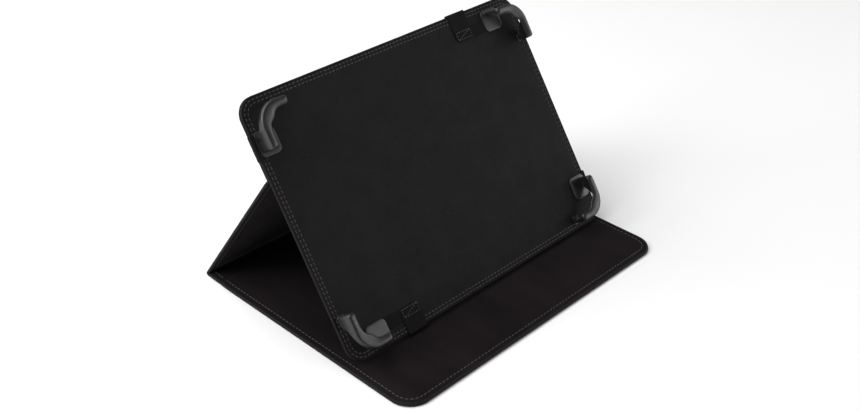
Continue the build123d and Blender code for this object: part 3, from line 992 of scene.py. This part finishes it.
def grip_section(point, left, path):
    """The closed C-shaped section at a station, as (out from the tablet's edge, behind the glass)."""
    near_tip = min(1.0, max(0.0, 1 - left / TIP_ROUND))
    drop = 1 - math.sqrt(1 - near_tip ** 2)
    out = WALL_IN + (WALL_OUT - WALL_IN) * (1 - 0.5 * drop)
    back = arch_depth(point)
    top = -LIP_TOP + 2.6 * drop
    reach = lip_reach_at(path) * (1 - 0.75 * drop)
    under = -LIP_UNDER + 0.9 * drop
    flare = WALL_FLARE * max(0.0, 1 - (FOOT_BACK - back) / FLARE_HEIGHT)
    waist = min(1.5, (back + LIP_TOP) / 6)
    lip = [
        (-reach, under),
        (-reach - 0.15, under * 0.6 + top * 0.4),
        (-reach + 0.9, top * 0.75 + under * 0.25),
        (-reach * 0.35, top + 0.1),
        (out * 0.35, top),
        (out - 0.7, top + 0.35),
    ]
    outer_wall = [
        (out, top + 1.5),
        (out, (top + back) / 2),
        (out, back - waist),
        (out + flare * 0.3, back - waist * 0.5),
        (out + flare, back - 0.2),
        (out + flare * 0.8, back),
    ]
    inner_wall = [
        (WALL_IN - flare * 0.8, back),
        (WALL_IN - flare, back - 0.2),
        (WALL_IN - flare * 0.3, back - waist * 0.5),
        (WALL_IN, back - waist),
        (WALL_IN, min(0.6 + drop, back - waist - 0.1)),
        (WALL_IN - 0.15, under),
    ]
    return lip + outer_wall + inner_wall


def corner_grip(name, side_x, side_y, foot_on_top):
    """One moulded grip: a C-shaped section swept round the corner, arched open at the apex."""
    points = []
    stations = grip_stations()
    for point, normal, left, path in stations:
        section = grip_section(point, left, path)
        for outward, depth in section:
            x, y = point + normal * outward
            points.append((x * side_x, y * side_y, -depth))
    size = len(section)
    grip = build(name, points, rings_to_faces(len(stations), size), HOLDER, rubber)
    work = bmesh.new()
    work.from_mesh(grip.data)
    work.verts.ensure_lookup_table()
    last = (len(stations) - 1) * size
    for first in (0, last):
        work.faces.new([work.verts[first + k] for k in range(size)])
    bmesh.ops.recalc_face_normals(work, faces=work.faces)
    work.to_mesh(grip.data)
    work.free()
    subdivide(grip, 2)
    tabs = []
    for along_top, leg in ((False, SHORT_LEG), (True, LONG_LEG)):
        ear = dict(EAR, start=leg - EAR["length"], end=leg)
        tab = FOOT if along_top == foot_on_top else ear
        tabs.append(grip_tab(f"{name}_tab_{along_top}", side_x, side_y, along_top, tab))
    return join(name, [grip] + tabs)


grips = {
    "top_left": (-1, 1, False),
    "top_right": (1, 1, True),
    "bottom_right": (1, -1, False),
    "bottom_left": (-1, -1, True),
}
for place_name, (side_x, side_y, foot_on_top) in grips.items():
    grip = corner_grip(f"moulded_grip_{place_name}", side_x, side_y, foot_on_top)
    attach(grip, f"grip_{place_name}")
    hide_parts(f"corner_grip_{place_name}")

# ---------------- elastic straps and patches
STRAP_HALF = 9.0
STRAP_TAIL = 22.0
STRAP_SIDE_MIDDLE = 64.7
STRAP_TOP_MIDDLE = 74.3
UNDER_FOOT = 2.6
UNDER_TABLET = 9.0
TIE_HALF = 4.6
TIE_MIDDLE = 6.4
TIE_THICK = 0.42
TIE_UNDER_FOOT = 5.0
SEWING = {"pitch": 2.6, "length": 1.9, "width": 0.5}


def strap_place(across, height, x_dir):
    """The frame of a strap at a place on the holder's edge: X along the edge, Y out, Z forward."""
    return place(to_table(HOLDER, [(across, height, 0)])[0], x_dir, HOLDER[:3, 2])


straps = {
    "top_left": strap_place(-half_panel, STRAP_SIDE_MIDDLE, HOLDER[:3, 1]),
    "top_right": strap_place(STRAP_TOP_MIDDLE, HOLDER_TOP, HOLDER[:3, 0]),
    "bottom_right": strap_place(half_panel, -STRAP_SIDE_MIDDLE, -HOLDER[:3, 1]),
    "bottom_left": strap_place(-STRAP_TOP_MIDDLE, HOLDER_BOTTOM, -HOLDER[:3, 0]),
}
# How far the holder's edge lies outside the tablet's at each strap.
beyond = {
    "top_left": half_panel - TABLET_HALF_WIDTH,
    "top_right": HOLDER_TOP - TABLET_HALF_HEIGHT,
    "bottom_right": half_panel - TABLET_HALF_WIDTH,
    "bottom_left": -HOLDER_BOTTOM - TABLET_HALF_HEIGHT,
}
turn = (FACE_DEPTH + HOLDER_BACK) / 2
front_z, back_z = -FACE_DEPTH + 0.12, -HOLDER_BACK - 0.12


def blend_to_grip(piece, place_name, holder_end, grip_end):
    """Bakes the piece's placement into its mesh; its grip end does not follow the grip. place_name, holder_end and
    grip_end, millimetre points in the row frame, are not used.
    """
    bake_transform(piece)


def elastic_strap(place_name, matrix, inside, raised):
    """A strap from inside the holder's edge on its face, round the edge and along its back."""
    outer = smooth([
        (-inside, front_z + 0.28 + raised), (-inside + 1.2, front_z + 0.45 + raised),
        (-2.6, front_z + 0.66), (-1.2, front_z + 0.82),
        (0.9, front_z + 0.85), (1.3, -turn), (0.9, back_z - 0.85), (-1.8, back_z - 0.74),
        (-STRAP_TAIL / 2, back_z - 0.66), (-STRAP_TAIL, back_z - 0.66),
    ], 3)
    inner = smooth([
        (-inside, front_z - 0.28 + raised), (-inside + 1.2, front_z - 0.2 + raised),
        (-2.6, front_z - 0.1), (-1.2, front_z),
        (0.25, front_z + 0.05), (0.5, -turn), (0.25, back_z), (-1.8, back_z + 0.05),
        (-STRAP_TAIL / 2, back_z + 0.06), (-STRAP_TAIL, back_z + 0.06),
    ], 3)
    strap = band(
        f"elastic_strap_{place_name}", inner, outer, STRAP_HALF, 0.3, matrix, (webbing,), columns=24,
    )
    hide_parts(f"strap_{place_name}")
    return strap


def elastic_tie(place_name, side):
    """A tie of the same webbing on the face, from the grip's foot to the strap that it is sewn to."""
    tie_y = side * (TABLET_HALF_HEIGHT - TIE_MIDDLE)
    foot_x = TABLET_HALF_WIDTH - FOOT["end"] + TIE_UNDER_FOOT
    strap_x = STRAP_TOP_MIDDLE - STRAP_HALF + 1.5
    tie_frame = place(to_table(HOLDER, [(0, tie_y, 0)])[0], HOLDER[:3, 1] * side, HOLDER[:3, 2])
    low_line = [(-x, -FACE_DEPTH - 0.05) for x in np.linspace(foot_x, strap_x, 16)]
    high_line = [(y, z + TIE_THICK) for y, z in low_line]
    tie = band(
        f"elastic_tie_{place_name}", low_line, high_line, TIE_HALF, 0.18, tie_frame, (webbing,),
    )
    ends = [
        to_table(HOLDER, [(side * x, tie_y, -FACE_DEPTH)])[0]
        for x in (STRAP_TOP_MIDDLE + STRAP_HALF, foot_x - 5.5)
    ]
    blend_to_grip(tie, place_name, *ends)
    box = [
        (side * STRAP_TOP_MIDDLE + x * (STRAP_HALF - 1.6), tie_y + y * (TIE_HALF - 1.7))
        for x, y in ((-1, -1), (1, -1), (1, 1), (-1, 1), (-1, -1), (1, 1))
    ]
    path = lift(box, front_z + 0.36 + TIE_THICK)
    sewing = stitch_row(f"stitching_tie_{place_name}", path, UP, HOLDER, thread, **SEWING)
    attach(sewing, "holder")


for place_name, matrix in straps.items():
    if place_name in ("top_left", "bottom_right"):
        strap = elastic_strap(place_name, matrix, beyond[place_name] - UNDER_FOOT, 0.0)
        back_end, face_end = (to_table(matrix, [(0, 0, z)])[0] for z in (back_z, front_z))
        blend_to_grip(strap, place_name, back_end, face_end)
    else:
        strap = elastic_strap(place_name, matrix, beyond[place_name] + UNDER_TABLET, TIE_THICK)
        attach(strap, "holder")
        side = 1 if place_name == "top_right" else -1
        elastic_tie(place_name, side)

PATCH_LENGTH = 12.0
PATCH_HALF = 12.5
PATCH_LOW = -STRAP_TAIL - 3.5
PATCH_CORNER_R = 1.2
PATCH_SEAM_INSET = 1.85


def stitched_patch(place_name):
    """A patch sewn over the end of a strap's tail on the holder's back."""
    high = PATCH_LOW + PATCH_LENGTH
    corners = rectangle(PATCH_HALF, PATCH_LOW, high, PATCH_CORNER_R, PATCH_CORNER_R)
    matrix = straps[place_name]
    top_z, low_z = -HOLDER_BACK - 1.4, -HOLDER_BACK + 0.1
    profile = [
        (2.6, top_z, 0.0, 0), (2.1, top_z, -0.25, 0), (1.6, top_z, -0.25, 0), (1.1, top_z, 0.0, 0),
        (0.6, top_z + 0.05, 0.0, 0), (0.2, top_z + 0.25, 0.0, 0), (0.0, top_z + 0.6, 0.0, 0),
        (0.0, low_z, 0.0, 0), (1.0, low_z, 0.0, 0),
    ]
    patch = panel(f"stitched_patch_{place_name}", corners, profile, matrix, (leatherette,))
    row = lift(closed(loop_of(corners, PATCH_SEAM_INSET)), top_z + 0.12)
    sewing = stitch_row(f"stitching_patch_{place_name}", row, DOWN, matrix, thread, **SEWING)
    for piece, slot in ((patch, "leatherette"), (sewing, "elastic_webbing")):
        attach(piece, "holder")
    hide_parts(f"strap_patch_{place_name}")


for place_name in ("bottom_right", "bottom_left"):
    stitched_patch(place_name)

# ---------------- floor, lights and camera
FLOOR_HALF = 3500.0
FLOOR_CLEAR = 0.02
floor_material, floor_tree, floor_shader = node_material("floor_pale", (0.86, 0.86, 0.86), 0.7, 0.2)
floor_noise = noise(floor_tree, place_on_object(floor_tree), 3.0)
floor_tree.links.new(
    tint(floor_tree, floor_noise, (0.85, 0.85, 0.85), (0.87, 0.87, 0.87)),
    floor_shader.inputs["Base Color"],
)
floor_z = cad_low[2] / MM - FLOOR_CLEAR
floor = build(
    "studio_floor",
    [(x * FLOOR_HALF, y * FLOOR_HALF, floor_z) for x, y in ((-1, -1), (1, -1), (1, 1), (-1, 1))],
    [(0, 1, 2, 3)], TABLE, floor_material,
)

WORLD_STRENGTH = 0.22
world = bpy.data.worlds.new("studio")
world.use_nodes = True
world.node_tree.nodes["Background"].inputs["Color"].default_value = (1, 1, 1, 1)
world.node_tree.nodes["Background"].inputs["Strength"].default_value = WORLD_STRENGTH
bpy.context.scene.world = world
bpy.context.scene.view_settings.view_transform = "Standard"


def area_light(name, at, target, size, watts):
    """A rectangular soft light at a place in metres, turned to a target."""
    data = bpy.data.lights.new(name, "AREA")
    data.shape = "RECTANGLE"
    data.size, data.size_y = size
    data.energy = watts
    light = bpy.data.objects.new(name, data)
    light.location = at
    light.rotation_euler = (Vector(target) - Vector(at)).to_track_quat("-Z", "Y").to_euler()
    bpy.context.scene.collection.objects.link(light)


area_light("top_light", (-0.7, 0.7, 1.7), (0, 0, 0), (2.6, 2.6), 54)
area_light("front_light", (1.25, -1.5, 0.5), (0, 0, 0.06), (1.3, 0.55), 8)
area_light("right_light", (1.6, -0.7, 0.6), (0.05, 0, 0.06), (0.8, 0.8), 5)
area_light("left_light", (-1.6, 0.6, 0.8), (0, 0, 0.06), (1.2, 1.2), 22)

CAMERA_AT = (-538.43, -517.84, 516.60)
CAMERA_AZIMUTH = 45.783
CAMERA_DOWN = 31.931
CAMERA_ROLL = 0.483
LENS = 49.154
heading, down, roll = (math.radians(a) for a in (CAMERA_AZIMUTH, CAMERA_DOWN, CAMERA_ROLL))
forward = Vector((
    math.sin(heading) * math.cos(down), math.cos(heading) * math.cos(down), -math.sin(down),
))
level = forward.cross(Vector((0, 0, 1))).normalized()
above = level.cross(forward)
right = level * math.cos(roll) + above * math.sin(roll)
up = right.cross(forward)
camera_data = bpy.data.cameras.new("camera")
camera_data.lens = LENS
camera_data.clip_start = 0.02
camera = bpy.data.objects.new("camera", camera_data)
camera.matrix_world = Matrix.Translation(Vector(CAMERA_AT) * MM) @ Matrix((
    (right.x, up.x, -forward.x),
    (right.y, up.y, -forward.y),
    (right.z, up.z, -forward.z),
)).to_4x4()
bpy.context.scene.collection.objects.link(camera)
bpy.context.scene.camera = camera
